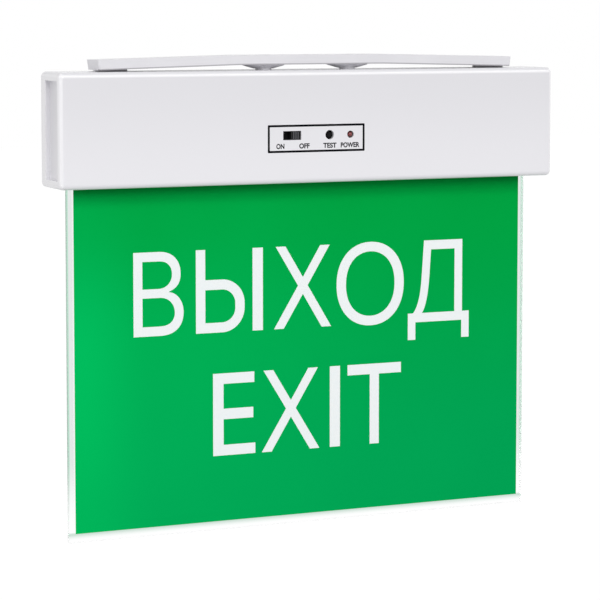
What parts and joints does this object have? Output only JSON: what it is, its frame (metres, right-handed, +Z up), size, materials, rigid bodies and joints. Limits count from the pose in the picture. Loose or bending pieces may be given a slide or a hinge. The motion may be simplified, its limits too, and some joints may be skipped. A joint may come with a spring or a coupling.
{
  "type": "emergency exit light",
  "caption": "Ceiling-hung emergency exit light: slim white housing on an arched bracket, edge-lit green sign panel below, with slide switch, test button and lamp.",
  "frame": {"origin": "ceiling plane at the middle of the bracket's flat top", "axes": "+X to the right along the housing as seen from the front, -Y is the front with the controls, +Z up to the ceiling"},
  "size_m": [0.31, 0.0333, 0.2752],
  "materials": {
    "housing_white": "satin moulded",
    "bracket_white": "satin moulded",
    "clear_acrylic": "polished",
    "film_green": "satin",
    "film_white": "satin",
    "holder_aluminium": "extruded",
    "board_white": "solder mask",
    "led_yellow": "phosphor",
    "board_green": "solder mask",
    "screw_steel": "zinc plated",
    "switch_black": "satin",
    "knob_grey": "satin",
    "lamp_red": "clear tinted",
    "core_dark": "lacquered",
    "can_aluminium": "sleeved",
    "fuse_metal": "polished",
    "wrap_blue": "shrink film",
    "rubber_black": "matt",
    "lead_grey": "extruded",
    "nylon_white": "moulded"
  },
  "bodies": {
    "light": {"acrylic_panel": "clear_acrylic", "battery_clamp": "nylon_white", "battery_connector": "nylon_white", "battery_lead": "lead_grey", "battery_pack": "wrap_blue", "board_screws": "screw_steel", "cable_grommet": "rubber_black", "capacitor_1": "can_aluminium", "capacitor_2": "can_aluminium", "capacitor_3": "can_aluminium", "ceiling_bracket": "bracket_white", "clamp_screws": "screw_steel", "driver_chip": "switch_black", "front_housing": "housing_white", "fuse": "fuse_metal", "holder_screws": "screw_steel", "led_01": "led_yellow", "led_02": "led_yellow", "led_03": "led_yellow", "led_04": "led_yellow", "led_05": "led_yellow", "led_06": "led_yellow", "led_07": "led_yellow", "led_08": "led_yellow", "led_09": "led_yellow", "led_10": "led_yellow", "led_11": "led_yellow", "led_12": "led_yellow", "led_board": "board_white", "led_connector": "nylon_white", "led_lead": "lead_grey", "main_board": "board_green", "panel_holder": "holder_aluminium", "panel_screws": "screw_steel", "power_lamp": "lamp_red", "rear_cover": "housing_white", "rear_cover_screws": "screw_steel", "reflector_film": "film_white", "sign_film": "film_green", "slide_switch_body": "switch_black", "supply_connector": "nylon_white", "supply_lead": "lead_grey", "terminal_block": "nylon_white", "terminal_screws": "screw_steel", "test_switch_body": "switch_black", "transformer": "core_dark"},
    "switch_knob": {"slide_switch_knob": "knob_grey"},
    "test_stem": {"test_button": "switch_black"}
  },
  "joints": [
    {"name": "switch_slide", "type": "slide", "parent": "light", "child": "switch_knob", "axis": [1, 0, 0], "range_m": [-0.005, 0]},
    {"name": "test_press", "type": "slide", "parent": "light", "child": "test_stem", "axis": [0, 1, 0], "range_m": [0, 0.0005], "stiffness_N_per_m": 800}
  ]
}
